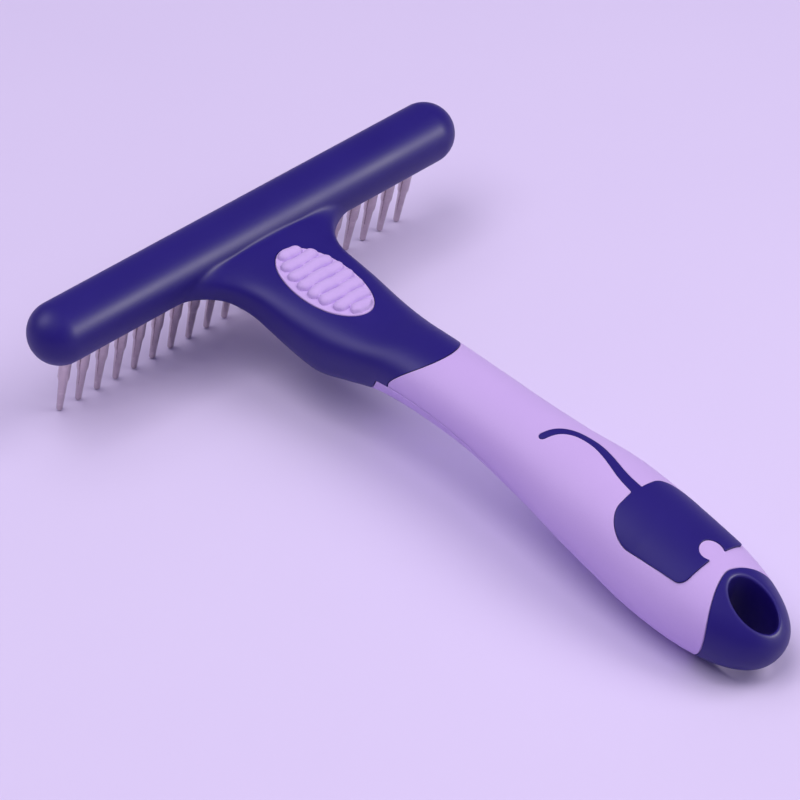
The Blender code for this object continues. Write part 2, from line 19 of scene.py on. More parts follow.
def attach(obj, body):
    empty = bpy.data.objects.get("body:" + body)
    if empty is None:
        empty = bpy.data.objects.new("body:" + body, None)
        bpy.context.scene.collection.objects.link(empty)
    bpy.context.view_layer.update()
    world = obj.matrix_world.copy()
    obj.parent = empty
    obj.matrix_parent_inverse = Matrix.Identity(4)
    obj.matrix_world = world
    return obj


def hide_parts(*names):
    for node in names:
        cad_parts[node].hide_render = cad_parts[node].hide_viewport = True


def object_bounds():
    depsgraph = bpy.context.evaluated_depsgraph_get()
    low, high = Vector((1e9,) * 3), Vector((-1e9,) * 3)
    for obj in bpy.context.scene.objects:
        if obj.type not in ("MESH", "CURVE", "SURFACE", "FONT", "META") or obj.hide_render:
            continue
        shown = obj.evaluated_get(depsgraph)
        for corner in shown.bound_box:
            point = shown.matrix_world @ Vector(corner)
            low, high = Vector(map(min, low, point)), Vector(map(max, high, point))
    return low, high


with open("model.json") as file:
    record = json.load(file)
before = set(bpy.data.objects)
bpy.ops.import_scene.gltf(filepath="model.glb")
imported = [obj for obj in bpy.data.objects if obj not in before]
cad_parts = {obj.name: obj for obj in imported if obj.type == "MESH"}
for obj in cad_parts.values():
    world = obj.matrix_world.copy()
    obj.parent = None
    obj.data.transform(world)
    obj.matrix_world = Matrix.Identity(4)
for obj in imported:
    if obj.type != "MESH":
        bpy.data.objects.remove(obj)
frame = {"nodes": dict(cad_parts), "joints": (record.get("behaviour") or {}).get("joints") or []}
cad_box = [list(corner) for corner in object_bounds()]
print("frame:", len(frame["nodes"]), "nodes in a box", np.ptp(cad_box, axis=0).round(4), "m")

# %% [markdown]
# ## Rake coordinates
# The rake lies leaning, on its pin tips and the underside of its butt. Every shape is easier
# to describe square to the tool, so all of them are worked out in millimetres as (x, s, z):
# x runs along the bar, s back along the handle and z up, from the middle of the bar's axis.
# The pins' own joints say where that is: their axis is the z direction, and the mean of
# their places is the middle of the bar.

# %% From rake coordinates to the frame
pin_joints = [joint for joint in frame["joints"] if joint["name"].startswith("pin_")]
ALONG = np.array([1.0, 0.0, 0.0])
UP = np.array(pin_joints[0]["axis"])
BACK = np.cross(ALONG, UP)
AXES = np.array([ALONG, BACK, UP])
BAR_MIDDLE = np.mean([joint["pos_m"] for joint in pin_joints], axis=0)
MM = 0.001


def in_place(points):
    """Rake coordinates in mm, turned and moved to where the frame lies, in metres."""
    return BAR_MIDDLE + MM * (points @ AXES)


print("lean of the rake:", round(math.degrees(math.asin(-UP[1])), 2), "degrees")

# %% [markdown]
# ## Camera, floor and light
# A long lens from well away keeps the bar's edges almost parallel, as a catalogue shot does.
# The floor is one pale sheet. Three wide panels overhead, to the left, the right and behind,
# give wide soft shadows, and a cool sky fills them. Panels of that size would flood a satin
# surface with glare, so glossy rays pass them by. Two smaller lamps, which light only glossy
# rays, draw the long highlights along the bar and down the neck instead.

# %% Camera
VIEW_AZIMUTH, VIEW_ELEVATION, VIEW_ROLL = np.radians([-41.81, 39.28, -1.2])
CAMERA_PLACE = BAR_MIDDLE + (-0.3957, -0.4891, 0.4670)
LENS, SENSOR = 168.2, 36.0

level_right = np.array([math.cos(VIEW_AZIMUTH), math.sin(VIEW_AZIMUTH), 0.0])
towards = np.array([math.sin(VIEW_AZIMUTH) * math.cos(VIEW_ELEVATION),
                    -math.cos(VIEW_AZIMUTH) * math.cos(VIEW_ELEVATION),
                    math.sin(VIEW_ELEVATION)])
level_up = np.cross(towards, level_right)
right = math.cos(VIEW_ROLL) * level_right + math.sin(VIEW_ROLL) * level_up
top = math.cos(VIEW_ROLL) * level_up - math.sin(VIEW_ROLL) * level_right
camera = bpy.data.objects.new("camera", bpy.data.cameras.new("camera"))
camera.data.lens = LENS
camera.data.sensor_width = SENSOR
pose = np.eye(4)
pose[:3, :3] = np.array([right, top, towards]).T
pose[:3, 3] = CAMERA_PLACE
camera.matrix_world = Matrix(pose.tolist())
bpy.context.scene.collection.objects.link(camera)
bpy.context.scene.camera = camera
print("camera stands", round(float(np.linalg.norm(CAMERA_PLACE)), 3), "m away")

# %% Light


def softbox(name, place, aim, size, power, colour):
    """Square light panel at a place, facing a point."""
    lamp = bpy.data.lights.new(name, "AREA")
    lamp.shape = "SQUARE"
    lamp.size = size
    lamp.energy = power
    lamp.color = colour
    stand = bpy.data.objects.new(name, lamp)
    stand.location = place
    stand.rotation_euler = (Vector(aim) - Vector(place)).to_track_quat("-Z", "Y").to_euler()
    bpy.context.scene.collection.objects.link(stand)
    return stand


WHITE, WARM = (1.0, 0.98, 0.91), (1.0, 0.95, 0.93)
PANEL_SIZE = 0.60
PANELS = [("left_panel", (-0.33, 0.0, 0.89), 4.3),
          ("right_panel", (0.40, -0.40, 0.76), 4.35),
          ("back_panel", (0.0, 0.33, 0.89), 1.5)]
STREAKS = [("bar_streak", (0.516, -0.75, 0.38), 0.24, 7.6),
           ("neck_streak", (-0.48, 0.52, 0.70), 0.50, 3.4)]
STREAK_AIM = (0.0, 0.02, 0.02)
SKY, SKY_STRENGTH = (0.76, 0.71, 1.03, 1), 0.30

for name, place, power in PANELS:
    softbox(name, place, (0, 0, 0), PANEL_SIZE, power, WHITE).visible_glossy = False
for name, place, size, power in STREAKS:
    softbox(name, place, STREAK_AIM, size, power, WARM).visible_diffuse = False
world = bpy.data.worlds.new("studio")
world.use_nodes = True
world.node_tree.nodes["Background"].inputs["Color"].default_value = SKY
world.node_tree.nodes["Background"].inputs["Strength"].default_value = SKY_STRENGTH
bpy.context.scene.world = world
bpy.context.scene.view_settings.view_transform = "Standard"

# %% [markdown]
# ## Shader sums written as sums
# A node tree is slow to read when it is built one node and one link at a time. A wire here
# is one output of the tree, and a plus, minus or times between wires lays down a Math node.
# All other nodes come from one method, which sets the node up and then fills its inputs.

# %% Wires and finishes


class Wire:
    """One output socket. Sums with wires and numbers add Math nodes and give a new wire."""

    def __init__(self, finish, socket):
        self.finish = finish
        self.socket = socket

    def maths(self, operation, *values):
        return self.finish.node("ShaderNodeMath", {"operation": operation}, *values)

    def __add__(self, other):
        return self.maths("ADD", self, other)

    def __sub__(self, other):
        return self.maths("SUBTRACT", self, other)

    def __rsub__(self, other):
        return self.maths("SUBTRACT", other, self)

    def __mul__(self, other):
        return self.maths("MULTIPLY", self, other)

    __radd__ = __add__
    __rmul__ = __mul__


class Finish:
    """One material, with the shader's fixed values set straight on its sockets."""

    def __init__(self, name, **fixed):
        self.material = bpy.data.materials.new(name)
        self.material.use_nodes = True
        self.tree = self.material.node_tree
        self.shader = self.tree.nodes["Principled BSDF"]
        for socket, value in fixed.items():
            self.shader.inputs[socket.replace("_", " ")].default_value = value
        self.place = self.node("ShaderNodeTexCoord", out="Object")

    def node(self, kind, settings=None, *inputs, out=0, **named):
        """A node of this kind: its settings, then its inputs in order or by name."""
        node = self.tree.nodes.new(kind)
        for key, value in (settings or {}).items():
            setattr(node, key, value)
        for socket, value in [*enumerate(inputs), *named.items()]:
            socket = socket.replace("_", " ") if isinstance(socket, str) else socket
            self.join(node.inputs[socket], value)
        return Wire(self, node.outputs[out])

    def join(self, socket, value):
        if isinstance(value, Wire):
            self.tree.links.new(value.socket, socket)
        else:
            socket.default_value = value

    def feed(self, **wires):
        """Leads wires into the shader's own sockets."""
        for socket, wire in wires.items():
            self.join(self.shader.inputs[socket.replace("_", " ")], wire)
        return self.material

    def noise(self, grain, detail=2.0, roughness=0.5):
        """Cloudy pattern from 0 to 1 with grains of this size in mm."""
        return self.node("ShaderNodeTexNoise", None, Vector=self.place, Scale=1 / (grain * MM),
                         Detail=detail, Roughness=roughness, out="Fac")

    def mix(self, share, first, second):
        """Colour between two colours."""
        colours = self.node("ShaderNodeMix", {"data_type": "RGBA"}, share, out=2)
        node = colours.socket.node
        self.join(node.inputs[6], first)
        self.join(node.inputs[7], second)
        return colours

    def bump(self, height, depth):
        """Normal of a surface raised by height times depth in mm."""
        return self.node("ShaderNodeBump", None, Height=height, Distance=depth * MM, Strength=1.0,
                         out="Normal")


print("shader sums are ready")

# %% [markdown]
# ## Navy plastic
# The frame, plate and cap are moulded in navy polypropylene with a spark-eroded texture: a
# satin skin, too fine to see as grains but rough enough to spread a highlight into a wide
# band. A flat colour with one roughness looks like paint. Two scales of noise work better:
# a grain of a fifth of a millimetre in the normal, and centimetre clouds in the roughness.

# %% Navy finish


def navy_plastic(name, roughness=0.45):
    finish = Finish(name, Specular_IOR_Level=0.36, IOR=1.49)
    clouds = finish.noise(14.0, detail=3.0)
    grain = finish.noise(0.22, detail=3.0)
    pits = finish.noise(0.6, detail=1.0)
    return finish.feed(
        Base_Color=finish.mix(clouds, (0.0115, 0.0040, 0.148, 1), (0.0150, 0.0065, 0.176, 1)),
        Roughness=roughness + 0.10 * (clouds - 0.5) + 0.06 * (grain - 0.5),
        Normal=finish.bump(grain + 0.5 * pits, 0.012))


NAVY = navy_plastic("navy_satin_plastic")
print("finish:", NAVY.name)

# %% [markdown]
# ## Lavender rubber
# The grips and the thumb pad are a soft thermoplastic rubber. It has almost no shine, a
# velvety edge and a fine dust-like tooth. A little sheen gives the velvet, and the tooth is
# a noise of a third of a millimetre in the normal and, very faintly, in the colour.

# %% Lavender finish


def lavender_rubber(name, tooth, roughness):
    finish = Finish(name, Specular_IOR_Level=0.35, Sheen_Weight=0.08, Sheen_Roughness=0.5)
    clouds = finish.noise(20.0, detail=3.0)
    grain = finish.noise(0.30, detail=3.0)
    share = 0.6 * clouds + 0.4 * grain
    return finish.feed(
        Base_Color=finish.mix(share, (0.50, 0.345, 0.74, 1), (0.57, 0.405, 0.80, 1)),
        Roughness=roughness + 0.12 * (clouds - 0.5) + 0.08 * (grain - 0.5),
        Normal=finish.bump(grain, tooth))


GRIP_RUBBER = lavender_rubber("lavender_grip_rubber", 0.020, 0.58)
PAD_RUBBER = lavender_rubber("lavender_pad_rubber", 0.026, 0.62)
print("finishes:", GRIP_RUBBER.name, PAD_RUBBER.name)

# %% [markdown]
# ## Turned steel
# Each pin is turned from wire and tumbled, which leaves fine rings round it. The rings depend
# only on the height along the pin, so a one-dimensional noise of that height draws them.

# %% Steel finish


def turned_steel(name):
    finish = Finish(name, Metallic=1.0)
    height = finish.node("ShaderNodeVectorMath", {"operation": "DOT_PRODUCT"}, finish.place,
                         tuple(UP), out="Value")
    rings = finish.node("ShaderNodeTexNoise", {"noise_dimensions": "1D"}, W=height,
                        Scale=1 / (0.12 * MM), Detail=2.0, out="Fac")
    clouds = finish.noise(1.6, detail=2.0)
    return finish.feed(
        Base_Color=finish.mix(clouds, (0.50, 0.43, 0.45, 1), (0.68, 0.59, 0.61, 1)),
        Roughness=0.24 + 0.12 * (clouds - 0.5) + 0.10 * (rings - 0.5),
        Normal=finish.bump(rings, 0.006))


STEEL = turned_steel("turned_pin_steel")
print("finish:", STEEL.name)

# %% [markdown]
# ## Meshes from arrays
# A surface is a grid of points, worked out as whole arrays. The faces of a grid are the same
# little sum of indices each time, so they are made by one function, and a tube's two ends
# are each closed onto one pole.

# %% Grids, tubes and pieces


def grid_faces(rows, columns, wrap_rows=False, wrap_columns=False):
    """Four-cornered faces between neighbouring points of a grid numbered row by row."""
    index = np.arange(rows * columns).reshape(rows, columns)
    if wrap_rows:
        index = np.vstack([index, index[:1]])
    if wrap_columns:
        index = np.hstack([index, index[:, :1]])
    corners = [index[:-1, :-1], index[:-1, 1:], index[1:, 1:], index[1:, :-1]]
    return np.stack(corners, axis=-1).reshape(-1, 4)


def tube(rings):
    """Closed skin through rings of points, each end gathered onto a pole in its middle."""
    rows, columns, _ = rings.shape
    points = np.vstack([rings.reshape(-1, 3), rings[0].mean(axis=0), rings[-1].mean(axis=0)])
    first = np.arange(columns)
    after = np.roll(first, -1)
    last = (rows - 1) * columns
    low_pole = np.full(columns, rows * columns)
    ends = [np.stack([after, first, low_pole], axis=1),
            np.stack([first + last, after + last, low_pole + 1], axis=1)]
    return points, [grid_faces(rows, columns, wrap_columns=True), *ends]


def new_mesh(name, *shells):
    """Mesh of one or more shells, each of them points and lists of faces, turned outwards."""
    mesh = bpy.data.meshes.new(name)
    points, corners, sizes = [], [], []
    count = 0
    for shell_points, faces in shells:
        points.append(shell_points)
        for block in faces:
            corners.append((np.asarray(block) + count).ravel())
            sizes.append(np.full(len(block), np.shape(block)[1]))
        count += len(shell_points)
    sizes = np.concatenate(sizes)
    mesh.vertices.add(count)
    mesh.vertices.foreach_set("co", np.concatenate(points).ravel())
    mesh.loops.add(int(sizes.sum()))
    mesh.loops.foreach_set("vertex_index", np.concatenate(corners))
    mesh.polygons.add(len(sizes))
    mesh.polygons.foreach_set("loop_start", np.cumsum(sizes) - sizes)
    mesh.update(calc_edges=True)
    face_outwards(mesh)
    return mesh


def face_outwards(mesh):
    shape = bmesh.new()
    shape.from_mesh(mesh)
    bmesh.ops.recalc_face_normals(shape, faces=shape.faces)
    shape.to_mesh(mesh)
    shape.free()


def coordinates(mesh):
    points = np.empty(len(mesh.vertices) * 3)
    mesh.vertices.foreach_get("co", points)
    return points.reshape(-1, 3)


def draft(name, mesh):
    """Object in rake coordinates, to be worked on before it becomes a piece."""
    thing = bpy.data.objects.new(name, mesh)
    bpy.context.scene.collection.objects.link(thing)
    return thing


def worked(thing):
    """The draft's mesh with its modifiers applied. The draft itself is cleared away."""
    graph = bpy.context.evaluated_depsgraph_get()
    mesh = bpy.data.meshes.new_from_object(thing.evaluated_get(graph))
    bpy.data.objects.remove(thing)
    return mesh


def piece(name, mesh, finish, body, *nodes, crease=35):
    """The finished mesh as a piece: in its place, smooth but for creases, riding on a body."""
    mesh.vertices.foreach_set("co", in_place(coordinates(mesh)).ravel())
    mesh.update()
    face_outwards(mesh)
    mesh.shade_smooth()
    mesh.set_sharp_from_angle(angle=math.radians(crease))
    mesh.materials.clear()
    mesh.materials.append(finish)
    thing = bpy.data.objects.new(name, mesh)
    bpy.context.scene.collection.objects.link(thing)
    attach(thing, body)
    if nodes:
        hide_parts(*nodes)
    mesh.calc_loop_triangles()
    print(f"{name}: {len(mesh.vertices)} points, {len(mesh.loop_triangles)} triangles")
    return thing


def cut(mesh, *cutters):
    """The mesh with each cutter's solid taken away."""
    thing = draft("to_be_cut", mesh)
    tools = [draft(f"cutter_{k}", tool) for k, tool in enumerate(cutters)]
    for tool in tools:
        change = thing.modifiers.new("cut", "BOOLEAN")
        change.operation = "DIFFERENCE"
        change.solver = "EXACT"
        change.object = tool
    result = worked(thing)
    for tool in tools:
        bpy.data.objects.remove(tool)
    return result


print("mesh tools are ready")

# %% [markdown]
# ## The handle's law
# Neck, grips and cap share one outer form, so one law describes it: at each place s along the
# handle, a half width, a top and an underside, and a squareness. A section is a superellipse
# with these sizes. The law is read from a few stations by a curve that never overshoots
# between two of them, and a gentle average takes the last trace of the stations away, which
# a satin highlight would otherwise show as bands. Past its widest point the handle closes
# like the end of an egg.

# %% Sections of the handle
WIDEST = 120.0           # place of the widest section
BUTT_LENGTH = 32.0       # from there to the end
BUTT_POWER = 2.4         # roundness of the butt, 2 is an ellipse
BUTT_SLOPE = 0.065       # rise of the butt's middle with length
HANDLE_END = WIDEST + BUTT_LENGTH
STATIONS = np.array([    # place, half width, top, underside, squareness
    (3.9, 21.2, 3.0, -4.8, 2.4),
    (7.0, 18.8, 3.3, -5.4, 2.5),
    (12.0, 14.2, 3.8, -6.4, 2.7),
    (17.9, 12.4, 5.1, -7.0, 2.9),
    (26.0, 12.3, 6.7, -7.6, 2.7),
    (34.0, 11.7, 8.2, -8.0, 2.6),
    (42.0, 10.2, 10.6, -4.5, 2.5),
    (50.0, 8.9, 14.2, -1.0, 2.2),
    (62.0, 8.7, 17.7, 2.4, 2.05),
    (75.0, 8.9, 20.6, 5.0, 2.0),
    (90.0, 10.0, 23.8, 6.1, 2.0),
    (105.0, 11.8, 27.3, 6.7, 2.0),
    (WIDEST, 12.4, 28.6, 6.6, 2.0)])
LAW_STEP = 0.25
LAW_BLUR = 1.5
PLACES = np.arange(0, 160, LAW_STEP)


def through(knots, values, places):
    """Cubic curve through the values, with the harmonic mean of two slopes at each knot."""
    steps = np.diff(knots)
    slopes = np.diff(values) / steps
    inner = np.zeros(len(slopes) - 1)
    same = slopes[:-1] * slopes[1:] > 0
    inner[same] = 2 / (1 / slopes[:-1][same] + 1 / slopes[1:][same])
    tangents = np.concatenate([slopes[:1], inner, slopes[-1:]])
    tangents[-1] = 0 if values[-1] == values.max() else tangents[-1]
    places = np.clip(places, knots[0], knots[-1])
    left = np.clip(np.searchsorted(knots, places, side="right") - 1, 0, len(steps) - 1)
    t = (places - knots[left]) / steps[left]
    return ((1 + 2 * t) * (1 - t) ** 2 * values[left] + t ** 2 * (3 - 2 * t) * values[left + 1]
            + t * (1 - t) * steps[left] * ((1 - t) * tangents[left] - t * tangents[left + 1]))


def blurred(values, width, around=False):
    """Bell-shaped running average over this many samples, also round a closed loop."""
    reach = int(math.ceil(3 * width))
    weights = np.exp(-0.5 * (np.arange(-reach, reach + 1) / width) ** 2)
    padded = np.pad(values, reach, mode="wrap" if around else "edge")
    return np.convolve(padded, weights / weights.sum(), mode="valid")


LAW = [blurred(through(STATIONS[:, 0], column, PLACES), LAW_BLUR / LAW_STEP)
       for column in STATIONS.T[1:]]


def section(places):
    """Half width, middle, half height and squareness of the handle's section at these places."""
    wide, top, low, power = (np.interp(places, PLACES, column) for column in LAW)
    rise = np.clip(places - WIDEST, 0, None) * BUTT_SLOPE
    return wide, (top + low) / 2 + rise, (top - low) / 2, power


def on_handle(places, angles, inset=0.0):
    """Points of the handle's skin, or so far under it. Angle 0 is +x, a quarter turn is up.

    x is the width times the cosine, and z the height times the sine, each to the power
    2 / squareness, and both shrink to nothing along the butt's outline.
    """
    places, angles, inset = np.broadcast_arrays(places, angles, inset)
    wide, middle, high, power = section(places)
    past = np.clip((places - WIDEST) / BUTT_LENGTH, 0, 1)
    share = (1 - past ** BUTT_POWER) ** (1 / BUTT_POWER)
    across, up = np.cos(angles), np.sin(angles)
    x = (wide * share - inset) * np.sign(across) * np.abs(across) ** (2 / power)
    z = middle + (high * share - inset) * np.sign(up) * np.abs(up) ** (2 / power)
    return np.stack([x, places, z], axis=-1)


print("handle ends at", HANDLE_END, "mm behind the bar")

# %% [markdown]
# ## Fields, and drawing a skin onto them
# Where the bar runs into the neck, and where the hanging hole runs through the cap, no single
# grid follows the form. These are made from fields instead: a function of a point that is
# zero on the surface, positive outside and about as large as the distance. The least of two
# fields joins two bodies, the greatest trims one by the other, and a smoothed least or
# greatest gives the fillet between them. A rough union of simple tubes is covered with one
# even skin by the voxel remesher, and each point of the skin is then moved down the field's
# slope until it lies exactly on the surface.

# %% Fields


def joined(first, second, fillet):
    """Least of two fields, blended over a fillet of this width."""
    reach = np.clip(fillet - np.abs(first - second), 0, None)
    return np.minimum(first, second) - reach ** 2 / (4 * fillet)


def trimmed(first, second, fillet):
    """Greatest of two fields, with a rounded edge of this width."""
    return -joined(-first, -second, fillet)


def ease(values, low, high):
    """Smooth step from 0 at low to 1 at high."""
    share = np.clip((values - low) / (high - low), 0, 1)
    return share ** 2 * (3 - 2 * share)


def handle_field(points, inset=0.0):
    """Distance out of the handle along the ray from its middle.

    The superellipse sum of x and z, and past the widest section also of s, says how many
    times too far out a point is, so the distance is the ray's length less its fair share.
    """
    x, s, z = points.T
    wide, middle, high, power = section(s)
    z = z - middle
    past = np.clip(s - WIDEST, 0, None)
    out = (np.abs(x / (wide - inset)) ** power
           + np.abs(z / (high - inset)) ** power) ** (1 / power)
    out = (out ** BUTT_POWER + (past / (BUTT_LENGTH - inset)) ** BUTT_POWER) ** (1 / BUTT_POWER)
    ray = np.sqrt(x ** 2 + z ** 2 + past ** 2)
    return ray * (1 - 1 / np.maximum(out, 0.05))


def slope(field, points, step=0.02):
    """Gradient of a field, from its change over a small step each way."""
    rises = [field(points + move) - field(points - move) for move in np.eye(3) * step]
    return np.stack(rises, axis=1) / (2 * step)


def settled(points, field, rounds=5, stride=0.6):
    """Points moved down the field's slope, no more than a stride a round, until it is zero."""
    for _ in range(rounds):
        steep = slope(field, points)
        move = steep * (field(points) / np.maximum((steep ** 2).sum(axis=1), 0.2))[:, None]
        length = np.linalg.norm(move, axis=1)[:, None]
        points = points - move * np.minimum(1, stride / np.maximum(length, 1e-9))
    return points


def evened(points, edges):
    """Points moved to the middle of their neighbours."""
    here, there = np.concatenate([edges, edges[:, ::-1]]).T
    count = len(points)
    total = [np.bincount(here, points[there, k], count) for k in range(3)]
    return np.stack(total, axis=1) / np.bincount(here, minlength=count)[:, None]


def moulded(name, rough, field, voxel, rounds=4):
    """One even skin over a rough mesh, drawn onto the surface where the field is zero."""
    blank = draft(name, rough)
    skin = blank.modifiers.new("skin", "REMESH")
    skin.mode = "VOXEL"
    skin.voxel_size = voxel
    mesh = worked(blank)
    edges = np.empty(len(mesh.edges) * 2, dtype=np.int32)
    mesh.edges.foreach_get("vertices", edges)
    points = coordinates(mesh)
    for _ in range(rounds):
        points = settled(evened(points, edges.reshape(-1, 2)), field)
    mesh.vertices.foreach_set("co", points.ravel())
    mesh.update()
    off = float(np.abs(field(points)).max())
    print(f"{name}: skin of {len(points)} points, off by", round(off, 4), "mm")
    return mesh


# %% [markdown]
# ## Seams between neck, grips and cap
# The grips start at a line that bows back over the top of the neck, and the lower grip
# reaches further forward than the upper one. They end at the cap's line, which falls back at
# the sides. All the mouldings meet in these lines with a hair's gap, so each line is one
# function of the angle round the handle, and every piece that meets there uses it.

# %% Seam lines
SEAM = 0.14                       # gap between two mouldings
PARTING = math.radians(-4)        # angle of the line between upper and lower grip
PARTING_END = math.radians(-36)   # the same at the widest point, where it has run down the side
PARTING_START = 56.0              # place where it begins to run down
WALL = 1.6                        # thickness of the grips
BED = WALL + 0.3                  # how far the tang and the plug lie under the skin
COLLAR_SIDE = 52.6                # where the upper grip's line crosses the side
COLLAR_BULGE, COLLAR_POWER = 6.4, 1.4
LOWER_LEAD, LOWER_BULGE = 3.1, 5.0
CAP_TOP = 135.6                   # where the cap's line crosses the top
CAP_SETBACK, CAP_POWER = 6.0, 1.5


def upper_collar(angles):
    """The side's place plus the bulge times a power of the angle's sine."""
    return COLLAR_SIDE + COLLAR_BULGE * np.abs(np.sin(angles)) ** COLLAR_POWER


def lower_collar(angles):
    """A lead in front of the side's place, and a bulge forward with the sine squared."""
    return COLLAR_SIDE - LOWER_LEAD - LOWER_BULGE * np.sin(angles) ** 2


def collar(angles):
    """The whole collar line, which steps from one grip's line to the other's at the parting."""
    above = np.sin(angles) > math.sin(PARTING)
    return np.where(above, upper_collar(angles), lower_collar(angles))


def parting(places):
    """Angle of the line between the grips, which eases down the side on its way back."""
    return PARTING + (PARTING_END - PARTING) * ease(places, PARTING_START, WIDEST)


def cap_line(angles):
    """The top's place plus the setback times a power of the angle's cosine."""
    return CAP_TOP + CAP_SETBACK * np.abs(np.cos(angles)) ** CAP_POWER


def ring_round(first, last, angles, depth, clear=3.0, rows=8):
    """Closed ring round the handle between two lines, from clear outside down to a depth."""
    share = np.linspace(0, 1, rows)[:, None]
    places = first + (last - first) * share
    outer = on_handle(places, angles, -clear)
    inner = on_handle(places[::-1], angles, depth)
    rings = np.concatenate([outer, inner])
    faces = grid_faces(2 * rows, len(angles), True, True)
    return new_mesh("ring", (rings.reshape(-1, 3), [faces]))


print("collar from", COLLAR_SIDE, "to", COLLAR_SIDE + COLLAR_BULGE, "mm")

# %% [markdown]
# ## Let-in pieces
# The thumb pad and the navy inlay are flat-looking pieces let into a curved skin. Their
# outlines are easiest to draw in plan, seen square from above. A constrained triangulation
# fills an outline with a few rings near its edge and an even net inside, and the net is then
# lifted onto the handle. The distance to the outline gives the rounded edge. The same
# outline, a seam's width larger, makes the cutter for the pocket.

# %% Outlines and sheets in plan


def turn(centre, radii, start, end, count):
    """Points of an elliptical arc between two angles in degrees."""
    angle = np.radians(np.linspace(start, end, count))
    return np.stack([np.cos(angle), np.sin(angle)], axis=1) * radii + centre


def travelled(points):
    """Length along a line of points up to each of them."""
    return np.concatenate([[0], np.cumsum(np.linalg.norm(np.diff(points, axis=0), axis=1))])


def evenly(outline, spacing, soften):
    """A closed outline with evenly spaced points, its corners softened by a running average."""
    closed = np.vstack([outline, outline[:1]])
    length = travelled(closed)
    fine = np.linspace(0, length[-1], int(4 * length[-1] / spacing), endpoint=False)
    width = 4 * soften / spacing
    smooth = [blurred(np.interp(fine, length, closed[:, k]), width, True) for k in (0, 1)]
    return np.stack(smooth, axis=1)[::4]


def outward(outline):
    """Unit normals of a closed outline in plan, pointing away from its inside."""
    after = np.roll(outline, -1, axis=0)
    along = after - np.roll(outline, 1, axis=0)
    normal = np.stack([along[:, 1], -along[:, 0]], axis=1)
    normal /= np.linalg.norm(normal, axis=1)[:, None]
    area = np.sum(outline[:, 0] * after[:, 1] - outline[:, 1] * after[:, 0])
    return normal * np.sign(area)


def margin(points, outline):
    """Distance in plan from each point to an outline."""
    span = np.roll(outline, -1, axis=0) - outline
    nearest = np.empty(len(points))
    for block in np.array_split(np.arange(len(points)), max(1, len(points) // 2000)):
        gap = points[block, None] - outline
        share = np.clip((gap * span).sum(axis=2) / (span ** 2).sum(axis=1), 0, 1)
        nearest[block] = np.linalg.norm(gap - share[..., None] * span, axis=2).min(axis=1)
    return nearest


def triangulated(points, loops):
    """Plan points joined to triangles, with every loop of their numbers kept as edges."""
    edges = [(loop[k - 1], loop[k]) for loop in loops for k in range(len(loop))]
    points = [Vector(point) for point in points.tolist()]
    flat, _, triangles, *_ = delaunay_2d_cdt(points, edges, [], 1, 1e-6)
    return np.array(flat), np.array(triangles)


def plan_net(outline, spacing, edge):
    """Points and triangles that fill an outline, with rings near its edge for the rounding."""
    normal = outward(outline)
    steps = edge * (1 - np.cos(np.linspace(0, math.pi / 2, 5))) if edge else np.zeros(1)
    rings = [outline - step * normal for step in steps]
    across, back = (np.arange(low, high, spacing)
                    for low, high in zip(outline.min(axis=0), outline.max(axis=0)))
    net = np.stack(np.meshgrid(across, back), axis=-1).reshape(-1, 2)
    net = net[margin(net, outline) > edge + 0.45 * spacing]
    loops = [range(k * len(outline), (k + 1) * len(outline)) for k in range(len(rings))]
    return triangulated(np.vstack([*rings, net]), loops)


def lifted(plan, lift):
    """Plan points brought up onto the handle's top, then along its normal by lift mm.

    The top's height over the section's middle is the half height times the superellipse root
    of what the share of the half width leaves.
    """
    x, s = plan.T
    wide, middle, high, power = section(s)
    z = middle + high * np.clip(1 - np.abs(x / wide) ** power, 0, None) ** (1 / power)
    points = np.stack([x, s, z], axis=1)
    normal = slope(handle_field, points)
    normal /= np.linalg.norm(normal, axis=1)[:, None]
    return points + normal * np.broadcast_to(lift, x.shape)[:, None]


def slab(name, upper, lower, triangles):
    """Closed solid between two lifts of one net, with a wall round each of its open edges."""
    sides = np.concatenate([triangles[:, pair] for pair in ([0, 1], [1, 2], [2, 0])])
    _, index, count = np.unique(np.sort(sides, axis=1), axis=0, return_index=True,
                                return_counts=True)
    start, end = sides[index[count == 1]].T
    wall = np.stack([end, start, start + len(upper), end + len(upper)], axis=1)
    faces = [triangles, triangles[:, ::-1] + len(upper), wall]
    return new_mesh(name, (np.vstack([upper, lower]), faces))


def sheet_on_top(outline, spacing, edge, top, bottom):
    """Sheet over an outline, with its upper edge rounded by a quarter circle of radius edge.

    The top is a lift, or a function of the plan points and their distance to the outline.
    """
    plan, triangles = plan_net(outline, spacing, edge)
    inside = margin(plan, outline)
    lift = top(plan, inside) if callable(top) else np.full(len(plan), top)
    short = np.clip(edge - inside, 0, None)
    lift = lift - edge + np.sqrt(np.clip(edge ** 2 - short ** 2, 0, None))
    return slab("sheet", lifted(plan, lift), lifted(plan, bottom), triangles)


print("plan tools are ready")

# %% [markdown]
# ## Head frame
# Bar, neck and tang are one moulding. The bar is a round rod with domed ends and a flat
# underneath, and the neck flares into it: with a crisp crease along the top and a wide fillet
# at the sides and below. Under the skin the tang goes on into the grips. The pocket for the
# pad, the seat for the pin plate, the chamber over it and the step down to the tang have
# sharp edges, so they are cut afterwards.

# %% Head frame
BAR_RADIUS = 6.8
BAR_HALF = 57.0
BAR_FLAT = -5.5
FLAT_END = 4.2           # the flat stops here, short of the neck
FLAT_EDGE = 0.9
NECK_START, NECK_END = 3.0, 62.0
TANG_START, TANG_END = 40.0, 125.3
CREASE_FILLET = 0.7      # along the top, where bar and neck meet in a crease
SIDE_FILLET = 2.6        # more towards the sides
UNDER_FILLET = 2.4       # and more underneath
NECK_EDGE, TANG_EDGE, TANG_BLEND = 0.4, 0.8, 0.3


